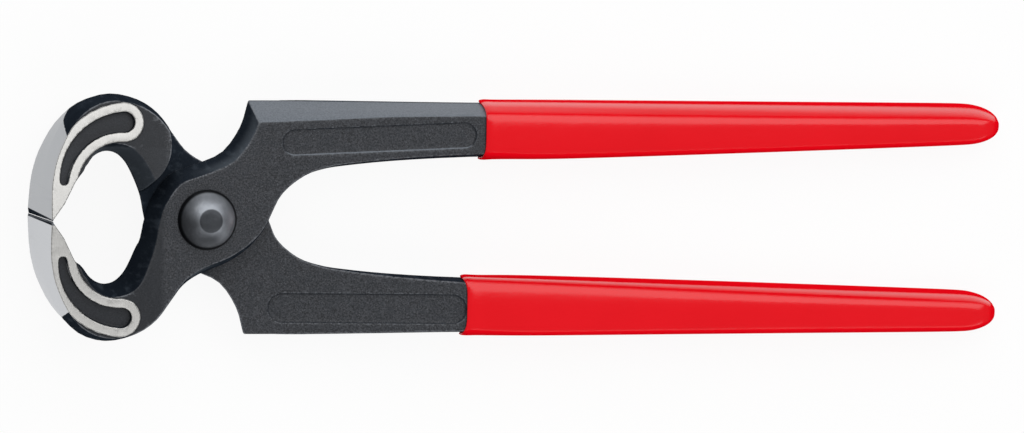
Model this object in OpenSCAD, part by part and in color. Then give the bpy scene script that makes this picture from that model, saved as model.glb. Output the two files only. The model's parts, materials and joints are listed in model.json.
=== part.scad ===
// End cutting nippers of the carpenter's pincer pattern, lying flat with the jaws towards -X.
// Two forged halves cross in a lap joint on one rivet, and each handle wears a dip-coated grip.
// Lengths are millimetres and angles are degrees.

/* [Jaws] */
// Distance from the rivet to the cutting edges
jaw_len = 37.1; // [30:0.1:46]
// Height of a jaw's crown over the tool's axis
jaw_rise = 28.1; // [25:0.1:34]
// Width of the cutting edges
jaw_w = 25; // [20:0.5:32]
// Slope of the jaws' ground sides, in degrees
jaw_flare = 10; // [6:0.5:12]
// Height of the mouth over the tool's axis
mouth_rise = 15; // [13:0.1:17]
// Distance from the rivet to the back of the mouth
mouth_back = 13; // [12.4:0.1:15]
// Gap between the cutting edges at rest
edge_gap = 0.2; // [0.1:0.05:2]
// Flat left along each cutting edge
edge_land = 0.2; // [0.1:0.05:0.6]
// Width of the ground rim round a jaw's pocket
rim_w = 2; // [1.2:0.1:3]
// Height of the ground rim over the black forging
rim_h = 0.4; // [0.2:0.1:0.8]
// Depth of the pocket under the ground rim
pocket_depth = 1.2; // [0.6:0.1:2]
// Half width of the pocket at its narrow end
pocket_narrow = 1; // [0.6:0.1:1.6]
// Half width of the pocket at its wide end
pocket_wide = 2.4; // [1.8:0.1:3]

/* [Joint] */
// Thickness of each lap plate
plate_t = 7.5; // [6:0.1:10]
// Radius of the lap plates at the lap
plate_r = 12.3; // [11:0.1:13]
// Draft of the forged walls from the parting plane to a face
plate_draft = 2.1; // [1.8:0.1:2.2]
// Gap between the two lap plates
lap_gap = 0.1; // [0.05:0.01:0.3]
// Diameter of the rivet's shank
rivet_d = 9; // [6:0.1:11]
// Clearance round the shank in the half that turns
turn_clear = 0.05; // [0.02:0.01:0.1]
// Clearance round the shank in the half that holds it
hold_clear = 0.01; // [0.01:0.005:0.03]
// Diameter of the rivet's domed head
head_d = 13.8; // [12:0.1:16]
// Height of the rivet's domed head
head_h = 4.2; // [3:0.1:5]
// Diameter of the flat on top of the domed head
head_flat_d = 5.5; // [4:0.1:7]
// Depth of the countersink for the riveted end
sink_depth = 2; // [1:0.1:3]
// Height of the low crown on the riveted end
peen_h = 0.6; // [0.2:0.1:1]
// Radius of a jaw's round boss beside the lap, at its top
boss_r = 10.5; // [9:0.1:11.5]
// How much wider the boss is at its foot
boss_draft = 1.6; // [0.5:0.1:1.8]

/* [Handles] */
// Distance from the rivet to the end of the steel
handle_len = 186.4; // [150:0.5:230]
// Distance from the rivet to a handle's shoulder, along the tool
shoulder_x = 10.7; // [10:0.1:13]
// Height of the shoulder over the tool's axis
shoulder_rise = 26.7; // [25:0.1:30]
// Height of the bevel on the shoulder
roof_h = 4.8; // [2:0.1:5.4]
// How far the outer edge drops from the shoulder to the ramp's end
shank_drop = 0.55; // [0:0.05:2]
// Height of a handle where the ramp ends
shank_h = 12.45; // [10:0.1:14]
// Distance from the rivet to the end of the ramp
ramp_end = 62.2; // [50:0.1:62.4]
// Distance from the rivet to the start of the ramp
ramp_start = 16.6; // [16:0.1:22]
// Depth of a handle behind the lap where the ramp ends
shank_back = 4.9; // [3.5:0.1:6]
// Thickness of a handle's end on either side of the lap
tail_t = 3.7; // [3:0.1:5]
// Height of a handle near its end
tail_h = 7.8; // [6.5:0.1:10]
// How far a handle leans inwards at its end, at its outer edge
tail_drop = 0.7; // [0:0.1:3]
// Length of the long round-ended recesses on the handles
pill_len = 45.6; // [30:0.1:46]
// Width of the recess on a half's outer face
pill_front_w = 5.8; // [4:0.1:7]
// Width of the recess on a half's lap side
pill_back_w = 6.6; // [4:0.1:7]
// Depth of the recesses
pill_depth = 0.5; // [0.2:0.1:1]

/* [Grips] */
// Thickness of the dipped coat
coat = 0.75; // [0.4:0.05:1.5]
// Thickness of the coat at a handle's end
coat_end = 1.3; // [0.6:0.1:3]
// Distance from the rivet to the upper grip's edge
upper_grip_start = 66; // [64:0.1:90]
// Distance from the rivet to the lower grip's edge
lower_grip_start = 62.7; // [62.5:0.1:90]
// Length of the rolled lip at a grip's edge
grip_lip = 1.2; // [0.5:0.1:3]
// Length of the round end of a grip
grip_nose = 9; // [5:0.5:12]

/* [Hidden] */
$fn = 96;

// How far a cutting tool runs past the face that it cuts
overrun = 4;
// Stock left on the jaws' sides for the ground planes to take off
grind_stock = 0.6;
// Curve steps between two key points of an outline
steps = 3;
// Steps on the pocket's arcs
end_steps = 10;
// Level length between the ramp and the sloping tail
ramp_land = 1;

tool_end = handle_len + coat_end;
origin_x = (tool_end - jaw_len) / 2;
lift = jaw_w / 2;
tip_y = edge_gap / 2;
rivet_r = rivet_d / 2;
flare_slope = tan(jaw_flare);

// A handle's outer face falls in one plane from the shoulder to the end
front_slope = (plate_t - tail_t) / (handle_len - shoulder_x);
back_slope = (shank_back - tail_t) / (handle_len - ramp_end);
ramp_slope = (shank_back + lap_gap / 2) / (ramp_end - ramp_land - ramp_start);
shank_rise = shoulder_rise - shank_drop;
tail_rise = shank_rise - tail_drop;

// Outline keys run from the cutting edge to the handle's end. The back rail follows the jaw's
// back, the neck, the crotch and the handle's inner edge. The mouth rail follows the mouth, the
// lap plate, the shoulder and the handle's outer edge. Both have one key for each station.
// The jaw's back as shares of the jaw's length and rise
jaw_back_shares = [
    [0.998, 0.16], [0.988, 0.33], [0.957, 0.516], [0.879, 0.749], [0.749, 0.933], [0.58, 1],
    [0.404, 0.954], [0.275, 0.845], [0.178, 0.686], [0.097, 0.551]
];
// The bevels behind the cutting edge as shares of the jaw's length and rise
bevel_shares = [[0.919, 0.134], [0.846, 0.314]];
// The mouth as shares of the jaw's length and the mouth's rise
mouth_shares = [
    [0.745, 0.71], [0.688, 0.884], [0.637, 0.974], [0.583, 1], [0.525, 0.955], [0.47, 0.82],
    [0.418, 0.58], [0.377, 0.32]
];
// The lap plate's lower edge as shares of its radius
plate_edge_shares = [[0.016, -1.05], [0.53, -0.84], [0.95, -0.553], [1.22, -0.22], [1.345, 0.106]];
// The lap plate's upper edge as bearings from the rivet
plate_bearings = [160, 127, 95];
// The shoulder's hollow as shares of the shoulder's place
hollow_shares = [[0.458, 0.562], [0.832, 0.772]];
// The handle's inner edge behind the crotch as shares of the ramp's end and the shank's foot
crotch_shares = [[0.298, 0.395], [0.372, 0.665], [0.45, 0.788], [0.535, 0.853], [0.725, 0.936]];
// The handle's outer edge as shares of the ramp's end, and how far it has dropped by then
shank_top_shares = [[0.275, 0], [0.435, 0.2], [0.69, 0.6]];
// Stations along the handle's tail as shares of its length
tail_shares = [0.25, 0.5, 0.75, 0.93];
// How much of its height a handle has lost at those stations, on its inner edge
tail_loss_shares = [0.2, 0.44, 0.71, 0.92];
// How far a handle's end narrows from either edge, as a share of its height
tail_end_share = 0.28;

shank_foot = shank_rise - shank_h;
tail_foot = tail_rise - tail_h;

function mix(a, b, t) = a + (b - a) * t;
function unit(v) = v / norm(v);
function quarter_turn(v) = [-v[1], v[0]];
function polar(r, bearing) = r * [cos(bearing), sin(bearing)];
function tail_x(t) = mix(ramp_end, handle_len, t);

back_keys = concat(
    [[-jaw_len, -tip_y]],
    [for (s = jaw_back_shares) [-s[0] * jaw_len, -s[1] * jaw_rise]],
    [for (s = plate_edge_shares) s * plate_r],
    [for (s = crotch_shares) [s[0] * ramp_end, s[1] * shank_foot]],
    [[ramp_end, shank_foot]],
    [for (i = [0:len(tail_shares) - 1])
        [tail_x(tail_shares[i]), mix(shank_foot, tail_foot, tail_loss_shares[i])]],
    [[handle_len, mix(tail_foot, tail_rise, tail_end_share)]]
);
mouth_keys = concat(
    [[-jaw_len + edge_land, -tip_y]],
    [for (s = bevel_shares) [-s[0] * jaw_len, -s[1] * jaw_rise]],
    [for (s = mouth_shares) [-s[0] * jaw_len, -s[1] * mouth_rise]],
    [[-mouth_back, -tip_y]],
    [for (b = plate_bearings) polar(plate_r, b)],
    [for (s = hollow_shares) [s[0] * shoulder_x, s[1] * shoulder_rise]],
    [[shoulder_x, shoulder_rise]],
    [for (s = shank_top_shares) [s[0] * ramp_end, mix(shoulder_rise, shank_rise, s[1])]],
    [[ramp_end, shank_rise]],
    [for (t = tail_shares) [tail_x(t), mix(shank_rise, tail_rise, t)]],
    [[handle_len, mix(tail_rise, tail_foot, tail_end_share)]]
);

// Wall insets of the outer face along the back rail, as shares of the draft
back_front_shares = [
    0, 0, 0, 0.1, 0.35, 0.6, 0.67, 0.76, 0.86, 0.95, 1, 1, 1, 1, 0.9, 0.7, 0.55,
    0.5, 0.5, 0.5, 0.5, 0.5, 0.5, 0.5, 0.5, 0.5, 0.3
];
// The same on the lap side
back_lap_shares = [
    0, 0, 0, 0.1, 0.35, 0.6, 0.67, 0.76, 0.86, 0.95, 1, 1, 1, 0.6, 0.4, 0.4, 0.4,
    0.4, 0.4, 0.4, 0.4, 0.4, 0.8, 1.2, 1.3, 1.3, 0.3
];
// Wall insets along the mouth rail as far as the shoulder, as shares of the draft
mouth_wall_shares = [
    0, 0, 0, 1.14, 1.19, 1.29, 1.33, 1.4, 1.3, 1.15, 1.05, 1, 1, 1, 1, 1.02, 1.02, 1.02
];
// The bevel on the handle's outer edge from the shoulder on, as shares of its height
roof_shares = [1, 0.96, 0.85, 0.65, 0.57, 0.66, 0.73, 0.76, 0.76, 0.3];
// Wall insets along the mouth rail on the lap side, as shares of the draft
mouth_lap_shares = [
    0, 0, 0, 1.14, 1.19, 1.29, 1.33, 1.4, 1.38, 1.42, 1.4, 1.2, 0.6, 0.4, 0.3, 0.2, 0.2,
    0.2, 0.2, 0.2, 0.2, 0.25, 0.35, 0.45, 0.5, 0.5, 0.3
];
// How much of the jaw's ground side shapes the outer face at each station
jaw_face_shares = [1, 1, 1, 1, 1, 1, 1, 0.85, 0.55, 0.25, 0.07, 0];
// Keys that belong to the jaw on the lap side
jaw_lap_keys = 11;
// Key of the shoulder's corner
shoulder_key = 17;
// Keys where the mouth rail turns a corner
mouth_corner_keys = [1, 2, shoulder_key];
// Rise and inset of a wall's rings, as shares of its height and draft
wall_rise_shares = [0, 0.62, 0.9, 1];
wall_inset_shares = [0, 0.56, 0.85, 1];
// Thickness left at the very end of a handle, as a share
tail_tip_share = 0.66;

key_count = len(back_keys);
last_key = key_count - 1;
station_count = last_key * steps;

mouth_front_in = concat(
    mouth_wall_shares * plate_draft,
    [for (i = [1:len(roof_shares) - 1]) roof_shares[i] * roof_h]
);
mouth_front_out = concat(
    [for (i = [0:shoulder_key - 1]) mouth_wall_shares[i] * plate_draft], roof_shares * roof_h);

// Smooth curve through key points, which may turn sharply at the keys in corners
function has(list, i) = len([for (v = list) if (v == i) v]) > 0;
function heading(keys, i, from, corners) =
    i == 0 || i == len(keys) - 1 || has(corners, i)
        ? keys[from + 1] - keys[from]
        : (keys[i + 1] - keys[i - 1]) / 2;
function bend(p, q, m, n, t) =
    p * (2 * t ^ 3 - 3 * t ^ 2 + 1) + m * (t ^ 3 - 2 * t ^ 2 + t)
    + q * (3 * t ^ 2 - 2 * t ^ 3) + n * (t ^ 3 - t ^ 2);
function curve(keys, corners) = [
    for (i = [0:len(keys) - 2])
        for (s = [0:steps - 1])
            bend(keys[i], keys[i + 1], heading(keys, i, i, corners),
                heading(keys, i + 1, i, corners), s / steps),
    keys[len(keys) - 1]
];

// Values at every station between the keys, leaving one key and arriving at the next
function leaving(arrive, leave) = [
    for (i = [0:last_key - 1]) for (s = [0:steps - 1]) mix(leave[i], arrive[i + 1], s / steps),
    leave[last_key]
];
function arriving(arrive, leave) = [
    for (i = [0:last_key - 1])
        for (s = [0:steps - 1]) s == 0 ? arrive[i] : mix(leave[i], arrive[i + 1], s / steps),
    arrive[last_key]
];

// A rail moved sideways, with a mitre where it turns a corner
mitre_limit = 0.25;
function side_in(rail, i, turn) =
    turn * quarter_turn(unit(i == 0 ? rail[1] - rail[0] : rail[i] - rail[i - 1]));
function side_out(rail, i, turn) =
    turn * quarter_turn(unit(i == len(rail) - 1 ? rail[i] - rail[i - 1] : rail[i + 1] - rail[i]));
function mitre(a, b, da, db) =
    abs(cross(a, b)) < mitre_limit
        ? unit(a + b) * (da + db) / 2
        : [da * b[1] - db * a[1], db * a[0] - da * b[0]] / cross(a, b);
function moved(rail, d_in, d_out, turn) = [
    for (i = [0:len(rail) - 1])
        rail[i] + mitre(side_in(rail, i, turn), side_out(rail, i, turn), d_in[i], d_out[i])
];

back_rail = curve(back_keys, []);
mouth_rail = curve(mouth_keys, mouth_corner_keys);
back_front_inset = leaving(back_front_shares, back_front_shares) * plate_draft;
back_lap_inset = leaving(back_lap_shares, back_lap_shares) * plate_draft;
back_front_edge = moved(back_rail, back_front_inset, back_front_inset, 1);
back_lap_edge = moved(back_rail, back_lap_inset, back_lap_inset, 1);
mouth_lap_inset = leaving(mouth_lap_shares, mouth_lap_shares) * plate_draft;
mouth_lap_edge = moved(mouth_rail, mouth_lap_inset, mouth_lap_inset, -1);
mouth_full_edge = moved(mouth_rail, arriving(mouth_front_in, mouth_front_out),
    leaving(mouth_front_in, mouth_front_out), -1);
// The outer face's edge runs straight up to the shoulder, under the bevel
shoulder_station = shoulder_key * steps;
hollow_station = shoulder_station - steps;
mouth_front_edge = [
    for (i = [0:station_count])
        i <= hollow_station || i >= shoulder_station
            ? mouth_full_edge[i]
            : mix(mouth_full_edge[hollow_station], mouth_full_edge[shoulder_station],
                (i - hollow_station) / steps)
];

// Height of the faces over the lap. The jaws' sides keep stock for their ground planes.
function jaw_side(y) = lift - (abs(y) - tip_y) * flare_slope + grind_stock;
function tail_end_scale(i) =
    i < (last_key - 1) * steps ? 1 : mix(1, tail_tip_share, i / steps - last_key + 1);
function outer_face(x) = plate_t - max(0, x - shoulder_x) * front_slope;
function lap_face(x) = shank_back + (ramp_end - x) * back_slope;
function jaw_weight(i) =
    let (k = i / steps)
    k >= len(jaw_face_shares) - 1 ? 0
        : mix(jaw_face_shares[floor(k)], jaw_face_shares[floor(k) + 1], k - floor(k));
function front_z(p, i) =
    mix(outer_face(p[0]), jaw_side(p[1]), jaw_weight(i)) * tail_end_scale(i);
function lap_z(p, i) =
    (i <= jaw_lap_keys * steps ? jaw_side(p[1]) : lap_face(p[0])) * tail_end_scale(i);

// One closed ring of the forging, or of its coat where grow is over zero. From the back rail at
// the lap it climbs over the outer face to the mouth rail and returns along the lap side.
function wall(foot, edge, z, out, grow, k) =
    let (p = mix(foot, edge, wall_inset_shares[k]) + out * grow)
    [p[0], p[1], (z + grow) * wall_rise_shares[k]];
function ring(i, grow) =
    let (
        a = back_rail[i],
        b = mouth_rail[i],
        a_out = -unit(side_in(back_rail, i, 1) + side_out(back_rail, i, 1)),
        b_out = -unit(side_in(mouth_rail, i, -1) + side_out(mouth_rail, i, -1)),
        a_front = front_z(back_front_edge[i], i),
        b_front = front_z(mouth_front_edge[i], i),
        a_lap = lap_z(back_lap_edge[i], i),
        b_lap = lap_z(mouth_lap_edge[i], i)
    )
    concat(
        [for (k = [0:3]) wall(a, back_front_edge[i], a_front, a_out, grow, k)],
        [for (k = [3:-1:0]) wall(b, mouth_front_edge[i], b_front, b_out, grow, k)],
        [for (k = [1:3]) let (p = wall(b, mouth_lap_edge[i], b_lap, b_out, grow, k)) [p[0], p[1], -p[2]]],
        [for (k = [3:-1:1]) let (p = wall(a, back_lap_edge[i], a_lap, a_out, grow, k)) [p[0], p[1], -p[2]]]
    );

// Solid through a row of rings, closed by rungs across the first and the last
module loft(rings) {
    n = len(rings[0]);
    top = (len(rings) - 1) * n;
    rows = len(wall_rise_shares);
    rungs = [for (r = [0:n / 2 - 1]) [(r + n - rows + 1) % n, n - rows - r]];
    sides = [
        for (i = [0:len(rings) - 2]) for (k = [0:n - 1])
            let (a = i * n + k, b = i * n + (k + 1) % n)
            each [[a, b, b + n], [a, b + n, a + n]]
    ];
    ends = [
        for (r = [0:len(rungs) - 2])
            let (a = rungs[r][0], b = rungs[r][1], c = rungs[r + 1][1], d = rungs[r + 1][0])
            each [
                [a, b, c], [a, c, d],
                [top + c, top + b, top + a], [top + d, top + c, top + a]
            ]
    ];
    polyhedron(points = [for (r = rings) each r], faces = concat(sides, ends));
}

// The pocket on a jaw's side is a tapered slot that bends with the jaw
pocket_centre_shares = [0.525, 0.278];
pocket_r_share = 0.521;
pocket_from = 185;
pocket_to = 269;
pocket_centre = [-pocket_centre_shares[0] * jaw_len, -pocket_centre_shares[1] * jaw_rise];
pocket_r = pocket_r_share * jaw_rise;
function pocket_half(t) = mix(pocket_narrow, pocket_wide, t);
function pocket_bearing(t) = mix(pocket_from, pocket_to, t);
function slot_edge(t, offset) = pocket_centre + polar(pocket_r + offset, pocket_bearing(t));
function round_end(t, start, grow) = [
    for (s = [1:end_steps - 1])
        slot_edge(t, 0) + polar(pocket_half(t) + grow, start + 180 * s / end_steps)
];
module slot(grow) {
    row = [for (s = [0:end_steps]) s / end_steps];
    polygon(concat(
        [for (t = row) slot_edge(t, pocket_half(t) + grow)],
        round_end(1, pocket_to, grow),
        [for (t = row) slot_edge(1 - t, -pocket_half(1 - t) - grow)],
        round_end(0, pocket_from + 180, grow)
    ));
}
module rim_area() {
    slot(rim_w);
    ground_w = jaw_len + overrun + pocket_centre[0] - pocket_r + pocket_narrow + rim_w;
    translate([-jaw_len - overrun, pocket_centre[1]])
        square([ground_w, overrun - pocket_centre[1]]);
}

// What grinding takes off one side of a jaw: the side down to its plane, the forging round the
// rim and the pocket inside it
module jaw_grinding() {
    reach = jaw_rise + 2 * overrun;
    translate([0, -tip_y, lift])
        rotate([jaw_flare, 0, 0]) {
            translate([-jaw_len - overrun, -reach, 0])
                cube([jaw_len + overrun, reach + overrun, overrun]);
            translate([0, 0, -rim_h])
                linear_extrude(rim_h + overrun)
                    difference() {
                        translate([-jaw_len - overrun, -reach])
                            square([jaw_len + overrun, reach + overrun]);
                        rim_area();
                    }
            translate([0, 0, -pocket_depth])
                linear_extrude(pocket_depth + overrun)
                    slot(0);
        }
}

// Room behind the lap for the other half: flat past the rivet, then a ramp along the handle.
// The jaw's round boss stays.
boss_place_shares = [0.512, 0.6];
boss_place = [-boss_place_shares[0] * jaw_len, -boss_place_shares[1] * jaw_rise];
module lap_room() {
    deep = lift + overrun;
    span = jaw_rise + overrun;
    lap = lap_gap / 2;
    per_mm = boss_draft / plate_t;
    difference() {
        translate([0, span, 0])
            rotate([90, 0, 0])
                linear_extrude(2 * span)
                    polygon([
                        [boss_place[0], -deep], [boss_place[0], lap], [ramp_start, lap],
                        [ramp_start + (deep + lap) / ramp_slope, -deep]
                    ]);
        translate([boss_place[0], boss_place[1], -deep - overrun])
            cylinder(h = deep + 2 * overrun, r1 = boss_r + boss_draft - (deep + overrun) * per_mm,
                r2 = boss_r + boss_draft + overrun * per_mm);
    }
}

// Long recess with round ends, centred on the origin and cut down from the plane z = 0
module pill(width) {
    straight = (pill_len - width) / 2;
    translate([0, 0, -pill_depth])
        linear_extrude(pill_depth + overrun) {
            square([2 * straight, width], center = true);
            for (end = [-1, 1])
                translate([end * straight, 0])
                    circle(d = width);
        }
}
// Distance from the recesses' ends to the grips' edges
pill_front_margin = 3.1;
pill_back_margin = 0.9;
// Place of the recesses across the handle, as a share of its height
pill_front_share = 0.37;
pill_back_share = 0.555;
// Tilt of the recess on the outer face
pill_tilt = 2.3;
module pill_recesses() {
    front_x = upper_grip_start - pill_front_margin - pill_len / 2;
    back_x = lower_grip_start - pill_back_margin - pill_len / 2;
    translate([front_x, mix(shank_foot, shank_rise, pill_front_share), outer_face(front_x)])
        rotate([0, atan(front_slope), 0])
            rotate([0, 0, pill_tilt])
                pill(pill_front_w);
    translate([back_x, mix(shank_foot, shank_rise, pill_back_share),
        lap_gap / 2 - (back_x - ramp_start) * ramp_slope])
        rotate([0, atan(ramp_slope), 0])
            mirror([0, 0, 1])
                pill(pill_back_w);
}

// One forging, front side up: the jaw below the axis and the handle above it
module forged_half(bore_clear, countersunk) {
    difference() {
        loft([for (i = [0:station_count]) ring(i, 0)]);
        jaw_grinding();
        mirror([0, 0, 1]) jaw_grinding();
        lap_room();
        pill_recesses();
        translate([0, 0, -plate_t])
            cylinder(h = 2 * plate_t + overrun, r = rivet_r + bore_clear);
        if (countersunk)
            translate([0, 0, plate_t - sink_depth])
                cylinder(h = sink_depth + overrun, r1 = rivet_r + bore_clear,
                    r2 = rivet_r + bore_clear + sink_depth + overrun);
    }
}

// Dipped coat over a handle from start to the round end
tail_key = 20;
tail_from = tail_key * steps;
// Rows of rings along the coat as shares of its straight length
coat_row_shares = [0.2, 0.4, 0.6, 0.8, 1];
// Distance along the lip and thickness of the coat there, as shares
lip_shares = [[0, 0.55], [0.35, 0.95], [1, 1.12], [2.2, 1]];
// Rings round the coat's end, and how far round a quarter circle they go
nose_steps = 6;
nose_turn = 82;
// How much less the coat's end narrows in thickness than in height, as a power
nose_blunt_share = 0.45;
function tail_rings(grow) = [for (i = [tail_from:station_count - steps]) ring(i, grow)];
function ring_at(rings, x) = [
    for (k = [0:len(rings[0]) - 1]) [
        x,
        lookup(x, [for (r = rings) [r[k][0], r[k][1]]]),
        lookup(x, [for (r = rings) [r[k][0], r[k][2]]])
    ]
];
function shrunk(points, x, s) =
    let (mid = [0, (points[0][1] + points[7][1]) / 2, 0])
    [for (p = points) [x, mix(mid[1], p[1], s), p[2] * s ^ nose_blunt_share]];
module coat_loft(start) {
    full = tail_rings(coat);
    nose_from = tool_end - grip_nose;
    straight_from = start + lip_shares[3][0] * grip_lip;
    loft(concat(
        [for (s = lip_shares) ring_at(tail_rings(coat * s[1]), start + s[0] * grip_lip)],
        [for (s = coat_row_shares) ring_at(full, mix(straight_from, nose_from, s))],
        [for (k = [1:nose_steps])
            let (turn = nose_turn * k / nose_steps)
            shrunk(ring_at(full, nose_from), nose_from + grip_nose * sin(turn) / sin(nose_turn), cos(turn))]
    ));
}
module grip(start) {
    difference() {
        coat_loft(start);
        loft([for (i = [tail_from:station_count]) ring(i, 0)]);
    }
}

// Puts the tool's lowest point on z = 0 and the middle of its length on x = 0
module placed() {
    translate([-origin_x, 0, lift]) children();
}

module front_half() {
    color("#34383d") placed() forged_half(hold_clear, false);
}

module rear_half() {
    color("#2c3035") placed() rotate([180, 0, 0]) forged_half(turn_clear, true);
}

// Height of the straight band under the rivet's dome
head_band = 0.8;
module pivot_rivet() {
    head_r = head_d / 2;
    flat_r = head_flat_d / 2;
    dome_h = head_h - head_band;
    rim_over_centre = (head_r ^ 2 - flat_r ^ 2 - dome_h ^ 2) / (2 * dome_h);
    sink_r = rivet_r + sink_depth;
    peen_r = (sink_r ^ 2 + peen_h ^ 2) / (2 * peen_h);
    color("#6d7378") placed()
        rotate_extrude() {
            translate([0, -plate_t])
                square([rivet_r, 2 * plate_t]);
            translate([0, plate_t])
                intersection() {
                    square([head_r, head_h]);
                    translate([0, head_band - rim_over_centre])
                        circle(r = norm([head_r, rim_over_centre]));
                }
            translate([0, -plate_t])
                polygon([[0, 0], [sink_r, 0], [rivet_r, sink_depth], [0, sink_depth]]);
            translate([0, -plate_t])
                intersection() {
                    translate([0, -peen_h])
                        square([sink_r, peen_h]);
                    translate([0, peen_r - peen_h])
                        circle(r = peen_r);
                }
        }
}

module upper_grip() {
    color("#e01420") placed() grip(upper_grip_start);
}

module lower_grip() {
    color("#d8101c") placed() rotate([180, 0, 0]) grip(lower_grip_start);
}

front_half();
rear_half();
pivot_rivet();
upper_grip();
lower_grip();
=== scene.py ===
# %% [markdown]
# # End cutting nippers, dressed for a studio picture
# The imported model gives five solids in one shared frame: two forged halves, a rivet and two
# dip-coated grips. They have the right sizes and hard edges. This lesson gives each of them the
# surface that the real tool has: soft forged edges and black scale on the steel, bright ground
# faces on the jaws, a satin rivet and glossy red dip coats. Then it lights them on a white floor.

# %% Load the fixed frame
import json
import math
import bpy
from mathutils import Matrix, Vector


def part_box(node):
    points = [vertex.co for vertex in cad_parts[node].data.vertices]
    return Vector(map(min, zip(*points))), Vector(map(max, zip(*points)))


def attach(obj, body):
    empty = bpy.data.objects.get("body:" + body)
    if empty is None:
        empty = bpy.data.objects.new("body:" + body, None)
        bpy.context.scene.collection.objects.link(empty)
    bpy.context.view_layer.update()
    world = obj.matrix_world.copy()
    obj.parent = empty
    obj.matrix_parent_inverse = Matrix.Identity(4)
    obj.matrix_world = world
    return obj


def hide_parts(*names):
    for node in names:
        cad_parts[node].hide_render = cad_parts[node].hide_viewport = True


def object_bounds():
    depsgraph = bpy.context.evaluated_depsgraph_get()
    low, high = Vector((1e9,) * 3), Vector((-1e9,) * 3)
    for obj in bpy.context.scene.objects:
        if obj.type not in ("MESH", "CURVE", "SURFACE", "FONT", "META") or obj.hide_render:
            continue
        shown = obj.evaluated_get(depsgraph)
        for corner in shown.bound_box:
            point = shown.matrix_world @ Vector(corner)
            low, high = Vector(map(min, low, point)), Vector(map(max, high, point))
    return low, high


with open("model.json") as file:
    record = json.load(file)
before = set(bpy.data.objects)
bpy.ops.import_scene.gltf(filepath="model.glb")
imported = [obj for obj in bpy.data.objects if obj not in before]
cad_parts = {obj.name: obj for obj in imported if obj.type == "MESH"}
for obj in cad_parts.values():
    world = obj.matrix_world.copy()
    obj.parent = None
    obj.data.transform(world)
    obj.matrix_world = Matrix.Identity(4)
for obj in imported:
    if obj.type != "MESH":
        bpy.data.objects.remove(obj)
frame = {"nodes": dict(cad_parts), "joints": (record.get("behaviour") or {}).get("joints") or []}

from types import SimpleNamespace

import bmesh
import bpy
import numpy as np
from mathutils import Matrix, Vector

cad_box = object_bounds()
scene = bpy.context.scene
MM = 0.001

# %% [markdown]
# ## Where things are
# Every later step asks for places on the tool, so they are worked out once. The hinge is the
# rivet's axis. The lap plane, where the two halves slide on each other, is halfway up the tool.
# The jaws' sides are ground to planes that lean by ten degrees, and the cutting edges stand a
# small gap apart.

# %% Landmarks in metres
SIDE_LEAN = math.radians(10)
TIP_DEPTH = 0.05 * MM

hinge = Vector(frame["joints"][0]["pos_m"])
lap_height = hinge.z
half_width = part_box("front_half")[1].z - lap_height
half_points = [v.co for v in frame["nodes"]["front_half"].data.vertices]
tip_row = [co for co in half_points if co.x < cad_box[0][0] + TIP_DEPTH]
edge_height = min(abs(co.y) for co in tip_row)
flare = math.tan(SIDE_LEAN)
print("hinge", tuple(round(v, 4) for v in hinge))
print("half width", round(half_width, 4), "edge height", round(edge_height, 5))

# %% [markdown]
# ## Small helpers
# Operators act on whatever is selected, and loading leaves the solids selected, so each step
# starts by clearing the selection and naming the one object that it works on. A solid arrives as
# loose triangles, so a copy of it is merged before anything else is done to it.

# %% Selection, modifiers and edit mode
WELD = 0.002 * MM


def only(obj):
    if bpy.context.object and bpy.context.object.mode != "OBJECT":
        bpy.ops.object.mode_set(mode="OBJECT")
    bpy.ops.object.select_all(action="DESELECT")
    obj.hide_set(False)
    obj.select_set(True)
    bpy.context.view_layer.objects.active = obj


def apply_modifier(obj, kind, **settings):
    only(obj)
    modifier = obj.modifiers.new(kind.title(), kind)
    for key, value in settings.items():
        setattr(modifier, key, value)
    bpy.ops.object.modifier_apply(modifier=modifier.name)


def merged_copy(node, name):
    mesh = frame["nodes"][node].data.copy()
    mesh.materials.clear()
    obj = bpy.data.objects.new(name, mesh)
    scene.collection.objects.link(obj)
    only(obj)
    bpy.ops.object.mode_set(mode="EDIT")
    bpy.ops.mesh.select_all(action="SELECT")
    bpy.ops.mesh.remove_doubles(threshold=WELD)
    bpy.ops.object.mode_set(mode="OBJECT")
    return obj


# %% Measure a mesh
def points(mesh):
    flat = np.empty(len(mesh.vertices) * 3)
    mesh.vertices.foreach_get("co", flat)
    return flat.reshape(-1, 3)


def faces_of(obj):
    return sum(len(p.vertices) - 2 for p in obj.data.polygons)


# %% [markdown]
# ## The forged halves
# A drop forging leaves the die with rounded edges and slightly uneven walls, and then only the
# jaws are ground, which makes crisp edges again. Bevelling every edge of a solid that came from
# many cuts is fragile, because its faces are long slivers. A voxel remesh gives the copy an even
# skin of small faces instead. The skin is then relaxed wherever the steel was left as forged, and
# kept as it is where it was ground, so soft and crisp edges meet as they do on the tool.

# %% Which parts of a half are ground
# Each nose ends at a height that falls with z. The mouth's side is a line from x and a slope.
NOSE_ENDS = {"front_half": (22.6 * MM, 0.2), "rear_half": (21.9 * MM, 0.32)}
MOUTH_SIDE = (-36.6 * MM, 0.38)
BEVEL_END = 3.5 * MM
BEVEL_BACK = -30.3 * MM
SIDE_DEPTH = 1.0 * MM
SIDE_BACK = -9 * MM


def ground_weight(co, node):
    nose_end, nose_lean = NOSE_ENDS[node]
    x = co[:, 0] - hinge.x
    y = np.abs(co[:, 1])
    z = co[:, 2] - lap_height
    over_side = np.abs(z) - half_width + (y - edge_height) * flare
    on_side = (over_side > -SIDE_DEPTH) & (x < SIDE_BACK)
    nose = (x < MOUTH_SIDE[0] + MOUTH_SIDE[1] * y) & (y < nose_end - nose_lean * z)
    bevel = (x < BEVEL_BACK) & (y < BEVEL_END)
    return (on_side | nose | bevel).astype(float)


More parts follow.
